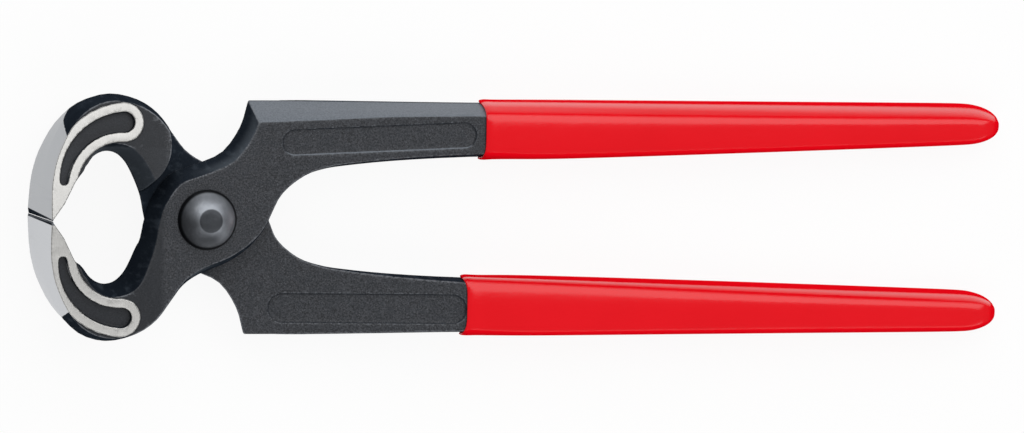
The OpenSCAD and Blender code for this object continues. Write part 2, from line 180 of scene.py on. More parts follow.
# %% [markdown]
# ## The cutting edges' chamfer
# Each cutting edge has a narrow dark chamfer in front, where it was honed, and it is taller at one
# end of the edge than at the other. The remeshed skin is fine enough to be pushed into that shape
# point by point: points at the tip move back to the chamfer's plane, and the edge's own land is
# made flat.

# %% Push the chamfer into a half's tip
CHAMFER_DEPTH = 0.3 * MM
CHAMFER_HEIGHTS = {"front_half": (0.45 * MM, 0.8 * MM), "rear_half": (1.2 * MM, 0.35 * MM)}
TIP_REACH = 1 * MM
LAND_DEPTH = 0.35 * MM
LAND_HEIGHT = 0.22 * MM
LAND_PROUD = 0.03 * MM


def chamfer_edge(mesh, node):
    far, near = CHAMFER_HEIGHTS[node]
    co = points(mesh)
    height = np.abs(co[:, 1])
    tip = co[:, 0].min()
    across = (co[:, 2] - lap_height) / half_width
    chamfer_height = (far + near) / 2 + across * (near - far) / 2
    up_chamfer = (height - edge_height) / chamfer_height
    limit = tip + CHAMFER_DEPTH * np.clip(1 - up_chamfer, 0, 1)
    at_tip = co[:, 0] < tip + TIP_REACH
    co[:, 0] = np.where(at_tip, np.maximum(co[:, 0], limit), co[:, 0])
    on_land = at_tip & (height < edge_height + LAND_HEIGHT)
    on_land &= co[:, 0] < tip + CHAMFER_DEPTH + LAND_DEPTH
    land = np.copysign(edge_height - LAND_PROUD, co[:, 1])
    co[:, 1] = np.where(on_land, land, co[:, 1])
    mesh.vertices.foreach_set("co", co.ravel())
    mesh.update()


# %% Remesh, relax and thin out each half
SKIN = 0.2 * MM
RELAX_TURNS = 15
RELAX_SHARE = 0.5
FACE_TARGET = 190000


def forged_half(node, name):
    obj = merged_copy(node, name)
    apply_modifier(obj, "REMESH", mode="VOXEL", voxel_size=SKIN, use_smooth_shade=True)
    ground = ground_weight(points(obj.data), node)
    forged = obj.vertex_groups.new(name="as_forged")
    forged.add(np.flatnonzero(ground == 0).tolist(), 1.0, "REPLACE")
    apply_modifier(
        obj, "SMOOTH", factor=RELAX_SHARE, iterations=RELAX_TURNS, vertex_group="as_forged"
    )
    chamfer_edge(obj.data, node)
    before = faces_of(obj)
    apply_modifier(obj, "DECIMATE", ratio=min(1.0, FACE_TARGET / before))
    only(obj)
    bpy.ops.object.shade_smooth()
    print(name, "faces", before, "->", faces_of(obj))
    return obj


front_steel = forged_half("front_half", "front_steel")
rear_steel = forged_half("rear_half", "rear_steel")

# %% [markdown]
# ## Where edges are painted bright
# Black scale wears first on edges that stick out, and the material paints a highlight along them
# too. How far a point stands out from its neighbours says how sharp the edge is there, so that
# number is kept on the mesh for the material to read. A point that lies deeper than its
# neighbours gets a number below zero, which marks a crevice for painted shade.

# %% Measure how far each point stands out
SPREAD_TURNS = 3
SHORTEST = 1e-9


def mark_edges(obj):
    mesh = obj.data
    co = points(mesh)
    pairs = np.empty(len(mesh.edges) * 2, dtype=np.int64)
    mesh.edges.foreach_get("vertices", pairs)
    pairs = pairs.reshape(-1, 2)
    count = np.maximum(np.bincount(pairs.ravel(), minlength=len(co))[:, None], 1)

    def around(at_first, at_second):
        total = np.zeros((len(co), at_first.shape[1]))
        np.add.at(total, pairs[:, 0], at_second)
        np.add.at(total, pairs[:, 1], at_first)
        return total / count

    def neighbours(values):
        return around(values[pairs[:, 0]], values[pairs[:, 1]])

    normal = np.empty(len(co) * 3)
    mesh.vertex_normals.foreach_get("vector", normal)
    normal = normal.reshape(-1, 3)
    length = np.linalg.norm(co[pairs[:, 0]] - co[pairs[:, 1]], axis=1, keepdims=True)
    spread = np.maximum(around(length, length), SHORTEST)
    proud = ((co - neighbours(co)) * normal).sum(axis=1, keepdims=True) / spread
    for _ in range(SPREAD_TURNS):
        proud = (proud + neighbours(proud)) / 2
    attribute = mesh.attributes.new("edge_proudness", "FLOAT", "POINT")
    attribute.data.foreach_set("value", proud.ravel().astype(np.float32))
    low, high = float(proud.min()), float(proud.max())
    print(obj.name, "edge wear from", round(low, 3), "to", round(high, 3))


for piece in (front_steel, rear_steel):
    mark_edges(piece)

# %% [markdown]
# ## The rivet
# The rivet was upset from a round bar: a domed head with a small flat where the tool pressed it,
# a straight shank and a peened far end. It is a turned shape, so half of its outline is drawn as
# a row of points and spun round the hinge. The outline has small rounds at the head's edge, which
# catch the light that a hard corner would lose.

# %% Spin the rivet's outline
# Each point is a distance from the axis and a height over the lap plane, in millimetres.
RIVET_OUTLINE = [
    (0.0, 11.7), (1.6, 11.69), (2.45, 11.6), (2.95, 11.42), (3.6, 11.12), (4.4, 10.6), (5.2, 9.92),
    (5.9, 9.15), (6.42, 8.42), (6.72, 7.95), (6.84, 7.7), (6.82, 7.55), (6.7, 7.5), (4.5, 7.5),
    (4.5, 0.0), (4.5, -5.5), (6.4, -7.42), (6.42, -7.52), (5.6, -7.68), (4.0, -7.9), (2.0, -8.05),
    (0.0, -8.1),
]
SPIN_STEPS = 96
SPIN_WELD = 0.01 * MM
CREASE = math.radians(38)


def spun_rivet():
    bpy.ops.object.select_all(action="DESELECT")
    bpy.ops.mesh.primitive_plane_add(size=MM, location=(0, 0, 0))
    obj = bpy.context.object
    obj.name = "rivet"
    bpy.ops.object.mode_set(mode="EDIT")
    shape = bmesh.from_edit_mesh(obj.data)
    bmesh.ops.delete(shape, geom=shape.verts[:], context="VERTS")
    row = [
        shape.verts.new((hinge.x + r * MM, hinge.y, lap_height + z * MM)) for r, z in RIVET_OUTLINE
    ]
    for a, b in zip(row, row[1:]):
        shape.edges.new((a, b))
    bmesh.update_edit_mesh(obj.data)
    bpy.ops.mesh.select_all(action="SELECT")
    bpy.ops.mesh.spin(
        steps=SPIN_STEPS, angle=2 * math.pi, center=hinge, axis=(0, 0, 1), use_auto_merge=True
    )
    bpy.ops.mesh.select_all(action="SELECT")
    bpy.ops.mesh.remove_doubles(threshold=SPIN_WELD)
    bpy.ops.mesh.normals_make_consistent(inside=False)
    bpy.ops.object.mode_set(mode="OBJECT")
    bpy.ops.object.shade_smooth_by_angle(angle=CREASE)
    return obj


rivet = spun_rivet()
print("rivet faces", faces_of(rivet))

# %% [markdown]
# ## The dip coats
# Each handle was dipped in liquid plastic, which clings in an even skin, rounds every corner and
# ends at the front in a leaning, curled edge. A skin like that is best made by skinning: the
# solid's section is measured at many places along the handle, each section is a circle primitive
# pulled into that shape, and the circles are bridged. Solidify gives the skin its inner wall, and
# a subdivision surface rounds it all.

# %% Measure a coat's outline at one place along the handle
RING = 56
PARALLEL = 1e-12
ON_EDGE = 1e-6


def section_edges(node, x):
    shape = bmesh.new()
    shape.from_mesh(frame["nodes"][node].data)
    bmesh.ops.remove_doubles(shape, verts=shape.verts, dist=WELD)
    everything = shape.verts[:] + shape.edges[:] + shape.faces[:]
    cut = bmesh.ops.bisect_plane(shape, geom=everything, plane_co=(x, 0, 0), plane_no=(1, 0, 0))
    edges = [e for e in cut["geom_cut"] if isinstance(e, bmesh.types.BMEdge)]
    ends = [[(v.co.y, v.co.z) for v in e.verts] for e in edges]
    shape.free()
    return np.array(ends)


def outline_at(node, x):
    ends = section_edges(node, x)
    corners = ends.reshape(-1, 2)
    middle = (corners.min(axis=0) + corners.max(axis=0)) / 2
    ring = []
    for k in range(RING):
        turn = 2 * math.pi * k / RING
        way = np.array((math.cos(turn), math.sin(turn)))
        reach = 0.0
        for p, q in ends - middle:
            side = q - p
            det = way[0] * -side[1] + way[1] * side[0]
            if abs(det) < PARALLEL:
                continue
            far = (p[0] * -side[1] + p[1] * side[0]) / det
            along = (way[0] * p[1] - way[1] * p[0]) / det
            if -ON_EDGE <= along <= 1 + ON_EDGE:
                reach = max(reach, far)
        ring.append(middle + way * reach)
    return np.array(ring)


# %% [markdown]
# ## From a section to a ring of plastic
# A measured section still has the solid's corners. Each point is averaged with its neighbours, and
# then moved as the plastic would have settled: two of the four walls stand squarer, the faces are
# crowned towards their rims, the front edge leans and curls back, and the very end gets thinner.

# %% Pull a circle into a coat's section
EDGE_REACH = 12 * MM
EDGE_LEAN = 0.2
EDGE_CURL = 1.6 * MM
UPPER_CROWN = 0.5 * MM
LOWER_CROWN = 0.12 * MM
RIM_POWER = 6
WALL_POWER = 2.2
END_ROUND = 2.2 * MM
END_THIN = 0.75


def squared(across, share):
    swelled = 1 - 0.5 * (2 * (1 - abs(across))) ** WALL_POWER
    swelled = max(abs(across), swelled)
    return math.copysign(abs(across) + (swelled - abs(across)) * share, across)


def coat_loop(node, x):
    low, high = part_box(node)
    bpy.ops.mesh.primitive_circle_add(vertices=RING, radius=MM, location=(0, 0, 0))
    loop = bpy.context.object
    ring = outline_at(node, x)
    softened = (np.roll(ring, 1, axis=0) + 2 * ring + np.roll(ring, -1, axis=0)) / 4
    middle = (softened.min(axis=0) + softened.max(axis=0)) / 2
    half = (softened.max(axis=0) - softened.min(axis=0)) / 2
    near_edge = max(0.0, 1 - (x - low.x) / EDGE_REACH)
    near_end = max(0.0, 1 - (high.x - x) / END_ROUND)
    thin = math.sqrt(1 - END_THIN * near_end**2)
    for vertex, (y, z) in zip(loop.data.vertices, softened):
        across = (y - middle[0]) / half[0]
        up = z - middle[1]
        if across * up < 0:
            across = squared(across, 1 - near_edge)
        crown = UPPER_CROWN if across > 0 else LOWER_CROWN
        dip = crown * across**2 * (abs(up) / half[1]) ** RIM_POWER
        back = near_edge * (EDGE_LEAN * up + EDGE_CURL * across**RIM_POWER)
        height = middle[1] + up * thin - math.copysign(dip, up)
        vertex.co = (x - back, middle[0] + across * half[0], height)
    return loop


# %% Skin a coat over its sections
# The rows are distances from the front edge in millimetres, and then shares of the rounded nose.
ROWS = [0.05, 0.35, 0.9, 1.6, 2.6, 4.5, 12, 30, 55, 80, 98]
NOSE_ROWS = [0.0, 0.3, 0.55, 0.74, 0.87, 0.95, 0.985]
NOSE_LENGTH = 9 * MM
COAT_WALL = 0.7 * MM
ROUNDING = 2
LAST_ROW = 1e-6


def dip_coat(node, name):
    low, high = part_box(node)
    places = [low.x + d * MM for d in ROWS] + [high.x - NOSE_LENGTH * (1 - d) for d in NOSE_ROWS]
    bpy.ops.object.select_all(action="DESELECT")
    loops = [coat_loop(node, x) for x in places]
    only(loops[0])
    for loop in loops:
        loop.select_set(True)
    bpy.ops.object.join()
    obj = bpy.context.object
    obj.name = name
    bpy.ops.object.mode_set(mode="EDIT")
    bpy.ops.mesh.select_all(action="SELECT")
    bpy.ops.mesh.bridge_edge_loops()
    bpy.ops.mesh.select_all(action="DESELECT")
    shape = bmesh.from_edit_mesh(obj.data)
    for edge in shape.edges:
        edge.select = all(abs(v.co.x - places[-1]) < LAST_ROW for v in edge.verts)
    shape.select_flush(True)
    bmesh.update_edit_mesh(obj.data)
    bpy.ops.mesh.edge_face_add()
    bpy.ops.mesh.poke()
    bpy.ops.mesh.select_all(action="SELECT")
    bpy.ops.mesh.normals_make_consistent(inside=False)
    bpy.ops.object.mode_set(mode="OBJECT")
    apply_modifier(obj, "SOLIDIFY", thickness=COAT_WALL, offset=-1)
    apply_modifier(obj, "SUBSURF", levels=ROUNDING, render_levels=ROUNDING)
    only(obj)
    bpy.ops.object.shade_smooth()
    print(name, "rows", len(places), "faces", faces_of(obj))
    return obj


upper_coat = dip_coat("upper_grip", "upper_coat")
lower_coat = dip_coat("lower_grip", "lower_coat")

# %% [markdown]
# ## Node helpers
# A material is a small network. These helpers add a node, set its plain values and wire its
# inputs in one line, so that each material below reads as a list of what it does. All patterns
# read the piece's own coordinates, in millimetres.


# %% Build networks line by line
class Network:
    def __init__(self, name):
        self.material = bpy.data.materials.new(name)
        self.material.use_nodes = True
        self.tree = self.material.node_tree
        self.tree.nodes.clear()
        self.place = self.add("ShaderNodeTexCoord")
        scaled = self.add("ShaderNodeVectorMath", operation="SCALE")
        self.tree.links.new(self.place.outputs["Object"], scaled.inputs[0])
        scaled.inputs["Scale"].default_value = 1 / MM
        self.mm = scaled.outputs[0]
        self.facing = self.place.outputs["Normal"]

    def add(self, kind, **settings):
        node = self.tree.nodes.new(kind)
        for key, value in settings.items():
            setattr(node, key, value)
        return node

    def set(self, socket, value):
        if isinstance(value, bpy.types.NodeSocket):
            self.tree.links.new(value, socket)
        else:
            socket.default_value = value

    def split(self, vector):
        node = self.add("ShaderNodeSeparateXYZ")
        self.set(node.inputs[0], vector)
        return node.outputs

    def math(self, operation, a, b=0.0, c=0.0, clamp=False):
        node = self.add("ShaderNodeMath", operation=operation, use_clamp=clamp)
        for socket, value in zip(node.inputs, (a, b, c)):
            self.set(socket, value)
        return node.outputs[0]

    def both(self, first, *others):
        for other in others:
            first = self.math("MULTIPLY", first, other)
        return first

    def step(self, value, low, high, start=0.0, end=1.0):
        node = self.add("ShaderNodeMapRange", interpolation_type="SMOOTHSTEP")
        for socket, v in zip(node.inputs, (value, low, high, start, end)):
            self.set(socket, v)
        return node.outputs[0]

    def noise(self, scale, detail=3.0, roughness=0.55, stretch=None):
        vector = self.mm
        if stretch:
            mapping = self.add("ShaderNodeMapping")
            self.set(mapping.inputs["Vector"], vector)
            mapping.inputs["Scale"].default_value = stretch
            vector = mapping.outputs[0]
        node = self.add("ShaderNodeTexNoise")
        self.set(node.inputs["Vector"], vector)
        node.inputs["Scale"].default_value = scale
        node.inputs["Detail"].default_value = detail
        node.inputs["Roughness"].default_value = roughness
        return node.outputs[0]

    def colour(self, factor, a, b):
        node = self.add("ShaderNodeMix", data_type="RGBA")
        self.set(node.inputs[0], factor)
        for socket, value in ((node.inputs[6], a), (node.inputs[7], b)):
            self.set(socket, value if isinstance(value, bpy.types.NodeSocket) else (*value, 1))
        return node.outputs[2]

    def mix(self, factor, a, b):
        node = self.add("ShaderNodeMix", data_type="FLOAT")
        self.set(node.inputs[0], factor)
        self.set(node.inputs[2], a)
        self.set(node.inputs[3], b)
        return node.outputs[0]

    def bump(self, height, strength, distance, after=None):
        node = self.add("ShaderNodeBump")
        self.set(node.inputs["Height"], height)
        self.set(node.inputs["Strength"], strength)
        node.inputs["Distance"].default_value = distance
        if after:
            self.set(node.inputs["Normal"], after)
        return node.outputs[0]

    def finish(self, **inputs):
        shader = self.add("ShaderNodeBsdfPrincipled")
        for key, value in inputs.items():
            self.set(shader.inputs[key.replace("_", " ")], value)
        output = self.add("ShaderNodeOutputMaterial")
        self.tree.links.new(shader.outputs[0], output.inputs[0])
        return self.material


# %% [markdown]
# ## Forged steel with ground jaws
# The whole forging is black from heat and oil: a dark blue-grey scale with a fine blasted grain.
# The jaws' rims, noses and bevels were ground after that, so they are bare steel with brush lines.
# One material does both, and it has to know where on the half it is. The rear half is the front
# one turned over, so its signs are turned too.


# %% Read the place on a half
def half_place(n, turned):
    x, y, z = n.split(n.mm)
    facing = n.split(n.facing)
    place = SimpleNamespace()
    place.x = n.math("SUBTRACT", x, hinge.x / MM)
    place.y = n.math("ABSOLUTE", y)
    place.z = n.math("SUBTRACT", z, lap_height / MM)
    place.off_lap = n.math("ABSOLUTE", place.z)
    place.on_own_side = n.math("MULTIPLY", place.z, turned)
    place.level = n.math("ABSOLUTE", facing[2])
    place.out_y = n.math("MULTIPLY", facing[1], turned)
    place.out_z = n.math("MULTIPLY", facing[2], turned)
    return place


# %% [markdown]
# ## What was ground
# A rim lies in the plane of the jaw's side. A nose is the outer wall up to where the grinding
# stopped, and a bevel lies behind the cutting edge. Their ends are a little ragged, as a grinding
# wheel leaves them. The honed chamfer in front of the edge is dark again.

# %% The mask of the ground faces
NOSE_RAGGED, BEVEL_RAGGED = 0.25, 0.3
CHAMFER_BACK = -36.0


def ground_mask(n, place, node):
    x, y, z = place.x, place.y, place.z
    end, lean = NOSE_ENDS[node]
    ragged = n.math("MULTIPLY_ADD", n.noise(0.8, 2), 1.4, -0.7)
    side_plane = (half_width + edge_height * flare) / MM
    over_side = n.math("ADD", place.off_lap, n.math("MULTIPLY_ADD", y, flare, -side_plane))
    rim = n.both(n.step(over_side, -0.3, -0.2), n.step(x, SIDE_BACK / MM, SIDE_BACK / MM - 1))

    nose_end = n.math("MULTIPLY_ADD", z, -lean, end / MM)
    nose_left = n.math("SUBTRACT", nose_end, y)
    nose_left = n.math("SUBTRACT", nose_left, n.math("MULTIPLY", ragged, NOSE_RAGGED))
    mouth_side = n.math("MULTIPLY_ADD", y, MOUTH_SIDE[1], MOUTH_SIDE[0] / MM)
    before_mouth = n.step(n.math("SUBTRACT", mouth_side, x), 0, 0.1)
    nose = n.both(n.step(nose_left, 0, 0.15), before_mouth)

    bevel_y = n.math("ADD", y, n.math("MULTIPLY", ragged, BEVEL_RAGGED))
    bevel_left = n.math("SUBTRACT", BEVEL_END / MM, bevel_y)
    before_back = n.step(x, BEVEL_BACK / MM, BEVEL_BACK / MM - 0.1)
    bevel = n.both(n.step(bevel_left, 0, 0.12), before_back)
    off_side = n.step(place.level, 0.75, 0.55)
    wall = n.both(n.math("MAXIMUM", nose, bevel), off_side)

    far, near = (height / MM for height in CHAMFER_HEIGHTS[node])
    slope = (near - far) * MM / (2 * half_width)
    chamfer_top = n.math("MULTIPLY_ADD", z, slope, edge_height / MM + (near + far) / 2)
    under_top = n.step(n.math("SUBTRACT", chamfer_top, y), -0.06, 0.06)
    chamfer = n.both(under_top, n.step(x, CHAMFER_BACK, CHAMFER_BACK - 0.1))
    ground = n.both(n.math("MAXIMUM", rim, wall), n.math("SUBTRACT", 1.0, chamfer))
    return ground, rim


# %% [markdown]
# ## Places on the black steel
# The roof is the long bevel along a handle's back, and it is paler: partly its own finish, partly
# painted light. The mouth's near wall and the hollow beside the rivet get a paler painted sheen.
# Faces are rubbed grey by hands and benches, and get painted shade where the other half shelters
# them.


# %% The masks of the black faces
def black_places(n, place, turned):
    x, y = place.x, place.y
    roof = n.both(n.step(place.out_y, 0.45, 0.65), n.step(place.out_z, 0.2, 0.35))
    roof = n.both(roof, n.step(x, 10.6, 11.2), n.step(place.on_own_side, 0.1, 0.7))
    # Level faces close to the lap plane, from the hinge towards the jaws, keep the dark wall
    # colour: painted shade where the other half shelters them.
    sheltered_shade = n.both(n.step(place.off_lap, 6.0, 3.5), n.step(x, 4, 0))
    from_mouth = n.math("ABSOLUTE", n.math("ADD", x, 22))
    in_mouth = n.both(n.step(y, 17, 16), n.step(from_mouth, 13, 12))
    from_hollow = n.math("ABSOLUTE", n.math("SUBTRACT", x, 4))
    in_hollow = n.both(n.step(y, 9, 13), n.step(from_hollow, 8, 6.8))
    in_hollow = n.both(in_hollow, n.step(place.on_own_side, 2.5, 7.2))
    # The mouth's near wall on the rear half and the hollow beside the rivet get a paler painted
    # sheen.
    mouth_sheen = n.both(n.step(place.z, 0.2, 0.9), 0.0 if turned > 0 else 1.0)
    painted_sheen = n.math("MAXIMUM", in_hollow, n.both(in_mouth, mouth_sheen))
    face = n.both(n.step(place.level, 0.5, 0.9), n.math("SUBTRACT", 1.0, sheltered_shade))
    return SimpleNamespace(roof=roof, in_mouth=in_mouth, painted_sheen=painted_sheen, face=face)


# %% [markdown]
# ## Black scale
# The scale is nearly blue-black on the walls, with paler streaks of painted sheen, and a speckled
# dark grey on the rubbed faces. Edges that stick out are painted a lighter grey, partly wear and
# partly painted highlight, and crevices are darkened with painted shade. Each of these is one more
# colour laid over the last, by its own mask.

# %% The colours of the scale
SCALE_BLUE = ((0.006, 0.009, 0.014), (0.022, 0.03, 0.042))
# Painted sheen: paler streaks on the blue-black walls.
STREAK_SHEEN_BLUE = (0.06, 0.075, 0.095)
# Painted sheen on the mouth's near wall and the hollow.
SHEEN_GREY = (0.1, 0.118, 0.14)
FACE_GREY = ((0.012, 0.013, 0.0155), (0.052, 0.055, 0.063))
BLOTCH_GREY = (0.02, 0.024, 0.03)
SPECK_GREY = (0.115, 0.122, 0.138)
JAW_FACE_BLACK = (0.012, 0.014, 0.018)
# Roof grey: partly a paler finish, partly painted light that the bevel catches.
ROOF_GREY_PAINTED_LIGHT = ((0.142, 0.162, 0.188), (0.2, 0.22, 0.25))
# Grey of edges that stick out: partly wear, partly painted highlight.
WORN_HIGHLIGHT_GREY = (0.2, 0.212, 0.235)
# Painted shade for crevices.
CREVICE_SHADE = (0.004, 0.0045, 0.006)


def scale_colours(n, place, black, mottle, grain):
    proud_seen = n.add("ShaderNodeAttribute", attribute_name="edge_proudness").outputs["Fac"]
    patchy = n.math("MULTIPLY_ADD", n.noise(1.3, 4), 0.12, -0.06)
    # Edges that stick out turn lighter: partly wear, partly painted highlight.
    bright_edges = n.step(n.math("ADD", proud_seen, patchy), 0.025, 0.12)
    wear_and_highlight = n.both(bright_edges, n.mix(black.in_mouth, 0.8, 0.1))
    # Points that lie deeper than their neighbours are darkened: painted shade in crevices.
    crevice_shade = n.both(n.step(proud_seen, -0.03, -0.12), 0.85)
    grainy = n.step(grain, 0.36, 0.64)

    # Paler streaks on the walls are painted sheen.
    sheen_streaks = n.step(n.noise(0.5, 4, 0.6, stretch=(1, 1, 0.25)), 0.5, 0.75)
    walls = n.colour(mottle, *SCALE_BLUE)
    walls = n.colour(n.both(sheen_streaks, 0.55), walls, STREAK_SHEEN_BLUE)
    sheen_share = n.math("MULTIPLY_ADD", sheen_streaks, 0.5, 0.7, clamp=True)
    walls = n.colour(n.both(sheen_share, black.painted_sheen), walls, SHEEN_GREY)

    blotch = n.step(n.noise(0.55, 4, 0.6), 0.42, 0.62, 0.0, 0.35)
    specks = n.step(n.noise(3.4, 2), 0.56, 0.72)
    rubbed = n.colour(grainy, *FACE_GREY)
    rubbed = n.colour(blotch, rubbed, BLOTCH_GREY)
    rubbed = n.colour(n.both(specks, 0.55), rubbed, SPECK_GREY)
    rubbed = n.colour(n.step(place.x, -9, -11, 0.0, 0.75), rubbed, JAW_FACE_BLACK)

    rubbed_share = n.math("MULTIPLY_ADD", mottle, 0.2, n.both(black.face, 0.85))
    colour = n.colour(rubbed_share, walls, rubbed)
    # The roof is painted paler: partly its finish, partly painted light.
    colour = n.colour(n.both(black.roof, 0.9), colour, n.colour(grainy, *ROOF_GREY_PAINTED_LIGHT))
    colour = n.colour(wear_and_highlight, colour, WORN_HIGHLIGHT_GREY)
    return n.colour(crevice_shade, colour, CREVICE_SHADE)


# %% [markdown]
# ## The whole steel
# Bare steel has brush lines across the rims and a satin grain along the noses. The black scale
# and the bare steel are then mixed by the mask of the ground faces, in colour, in roughness and
# in relief. The steep black walls get no mirror at all, because they would only show the white
# floor.

# %% The steel's network
RIM_BRIGHT = ((0.31, 0.307, 0.297), (0.68, 0.674, 0.657))
# The two noses are the same ground steel: the front one is painted paler as painted light, the
# rear one duller as painted shade.
NOSE_PAINTED_LIT = ((0.54, 0.555, 0.58), (0.64, 0.655, 0.68))
NOSE_PAINTED_SHADED = ((0.39, 0.405, 0.425), (0.47, 0.485, 0.505))
GRAIN_RELIEF = 0.12 * MM
BRUSH_RELIEF = 0.02 * MM
FACE_SHINE = 0.3


def steel_material(name, node, turned, nose_painted_light):
    n = Network(name)
    place = half_place(n, turned)
    ground, rim = ground_mask(n, place, node)
    black = black_places(n, place, turned)
    mottle = n.noise(0.12, 4, 0.6)
    grain = n.noise(2.6, 3, 0.6)
    scale_colour = scale_colours(n, place, black, mottle, grain)

    brush = n.noise(1.0, 4, 0.65, stretch=(9, 0.7, 0.9))
    satin = n.noise(1.0, 3, 0.6, stretch=(1.2, 0.35, 7))
    steel_colour = n.colour(rim, n.colour(satin, *nose_painted_light), n.colour(brush, *RIM_BRIGHT))
    nose_rough = n.math("MULTIPLY_ADD", satin, 0.2, 0.3)
    rim_rough = n.math("MULTIPLY_ADD", brush, 0.25, 0.3)
    steel_rough = n.mix(rim, nose_rough, rim_rough)
    scale_rough = n.math("MULTIPLY_ADD", grain, 0.3, 0.36)

    relief = n.math("ADD", grain, n.both(mottle, 0.8))
    smooth_places = n.math("MAXIMUM", ground, black.roof)
    grainy = n.bump(relief, n.mix(smooth_places, 0.6, 0.1), GRAIN_RELIEF)
    lines = n.mix(rim, satin, brush)
    return n.finish(
        Base_Color=n.colour(ground, scale_colour, steel_colour),
        Metallic=ground,
        Roughness=n.mix(ground, scale_rough, steel_rough),
        Specular_IOR_Level=n.mix(n.math("MAXIMUM", black.face, black.roof), 0.0, FACE_SHINE),
        Normal=n.bump(lines, n.mix(ground, 0.0, 0.25), BRUSH_RELIEF, grainy),
    )


# The front nose gets painted light, the rear nose painted shade.
front_look = steel_material("forged steel, front", "front_half", 1, NOSE_PAINTED_LIT)
rear_look = steel_material("forged steel, rear", "rear_half", -1, NOSE_PAINTED_SHADED)
front_steel.data.materials.append(front_look)
rear_steel.data.materials.append(rear_look)
print("steel materials made, nodes", len(front_look.node_tree.nodes))

# %% [markdown]
# ## Rivet steel
# The rivet has the same dark finish, but it was hammered and rubbed, so it is smoother, with
# shallow dents. Fine rings in its roughness are bands of the distance from the hinge. The dome is
# painted darker on one side as painted shade, its flat is dark, and a ring of painted shadow lies
# round the foot of the head.

# %% The rivet's network
DOME_GREY = ((0.19, 0.203, 0.228), (0.34, 0.36, 0.39))
# Painted shade on the side of the dome that faces -x and -y.
DOME_PAINTED_SHADE = (0.03, 0.032, 0.037)
FLAT_GREY = (0.032, 0.035, 0.04)
# Painted shadow round the foot of the head.
FOOT_PAINTED_SHADOW = (0.006, 0.007, 0.009)
PAINTED_SHADE_SIDE = (0.6, 0.8)
DENT_RELIEF = 0.12 * MM


def rivet_material():
    n = Network("rivet steel")
    centred = n.add("ShaderNodeVectorMath", operation="SUBTRACT")
    n.set(centred.inputs[0], n.mm)
    centred.inputs[1].default_value = hinge / MM
    x, y, _ = n.split(centred.outputs[0])
    away = n.math("SQRT", n.math("ADD", n.math("POWER", x, 2.0), n.math("POWER", y, 2.0)))
    rings = n.add("ShaderNodeTexNoise", noise_dimensions="1D")
    n.set(rings.inputs["W"], away)
    rings.inputs["Scale"].default_value = 5
    rings.inputs["Detail"].default_value = 4
    dents = n.noise(0.45, 2)
    grain = n.noise(3.0, 3)

    facing = n.split(n.facing)
    # The dome is darker where it faces -x and -y: painted shade.
    lean_y = n.math("MULTIPLY", facing[1], PAINTED_SHADE_SIDE[1])
    lean = n.math("MULTIPLY_ADD", facing[0], PAINTED_SHADE_SIDE[0], lean_y)
    colour = n.colour(dents, *DOME_GREY)
    colour = n.colour(n.step(lean, 0.0, -0.45, 0.0, 0.7), colour, DOME_PAINTED_SHADE)
    colour = n.colour(n.step(away, 2.9, 2.5, 0.0, 0.9), colour, FLAT_GREY)
    # A dark ring round the foot of the head is painted shadow.
    colour = n.colour(n.step(away, 6.0, 6.45, 0.0, 0.95), colour, FOOT_PAINTED_SHADOW)
    ringed = n.math("MULTIPLY_ADD", rings.outputs[0], 0.14, 0.3)
    height = n.math("ADD", n.both(dents, 2.0), n.both(grain, 0.25))
    return n.finish(
        Base_Color=colour,
        Metallic=0.85,
        Roughness=n.math("ADD", ringed, n.both(grain, 0.1)),
        Normal=n.bump(height, 0.5, DENT_RELIEF),
    )


rivet.data.materials.append(rivet_material())
print("rivet material made, nodes", len(rivet.data.materials[0].node_tree.nodes))

# %% [markdown]
# ## Dip-coat red
# Dipped plastic has a wet shine with a faint orange peel and small dull rubs, and its red is a
# little uneven. Its bevels shine most, above all along the handle's back, and its steep walls are
# matt. The colour stays almost even: the shape and the gloss do the work.

# %% The coat's network
COAT_RED = ((0.77, 0.0015, 0.007), (0.86, 0.003, 0.011))
UPPER_MATT = 1.5
LOWER_MATT, LOWER_MATT_SLOPE = 3.0, -0.0105
FACE_GLOSS = 0.5
BEVEL_GLOSS = (2.1, 0.22)
PEEL_RELIEF = 0.1 * MM


def coat_material():
    n = Network("dip-coat red")
    cloud = n.noise(0.05, 3)
    peel = n.noise(0.55, 2)
    dust = n.noise(2.2, 3)
    rubs = n.step(n.noise(0.16, 5, 0.65, stretch=(0.5, 1.5, 1.5)), 0.58, 0.75)

    x, y, z = n.split(n.mm)
    facing = n.split(n.facing)
    off_lap = n.math("ABSOLUTE", n.math("SUBTRACT", z, lap_height / MM))
    lower_matt = n.math("MULTIPLY_ADD", x, LOWER_MATT_SLOPE, LOWER_MATT)
    matt_top = n.mix(n.step(y, 0.5, -0.5), UPPER_MATT, lower_matt)
    above_matt = n.step(n.math("SUBTRACT", off_lap, matt_top), -0.35, 0.35)
    wet = n.both(above_matt, n.step(facing[1], -0.2, -0.08), n.step(facing[0], 0.6, 0.3))
    on_bevel = n.step(facing[1], 0.35, 0.5)
    gloss = n.mix(on_bevel, FACE_GLOSS, n.step(off_lap, 1.6, 4.2, *BEVEL_GLOSS))
    dusty = n.math("MULTIPLY_ADD", dust, 0.06, 0.11)
    height = n.math("ADD", peel, n.both(dust, 0.12))
    return n.finish(
        Base_Color=n.colour(cloud, *COAT_RED),
        Roughness=n.math("ADD", dusty, n.both(rubs, 0.04)),
        Specular_IOR_Level=n.mix(wet, 0.0, gloss),
        IOR=1.5,
        Normal=n.bump(height, 0.12, PEEL_RELIEF),
    )


red = coat_material()
upper_coat.data.materials.append(red)
lower_coat.data.materials.append(red)
print("coat material made, nodes", len(red.node_tree.nodes))

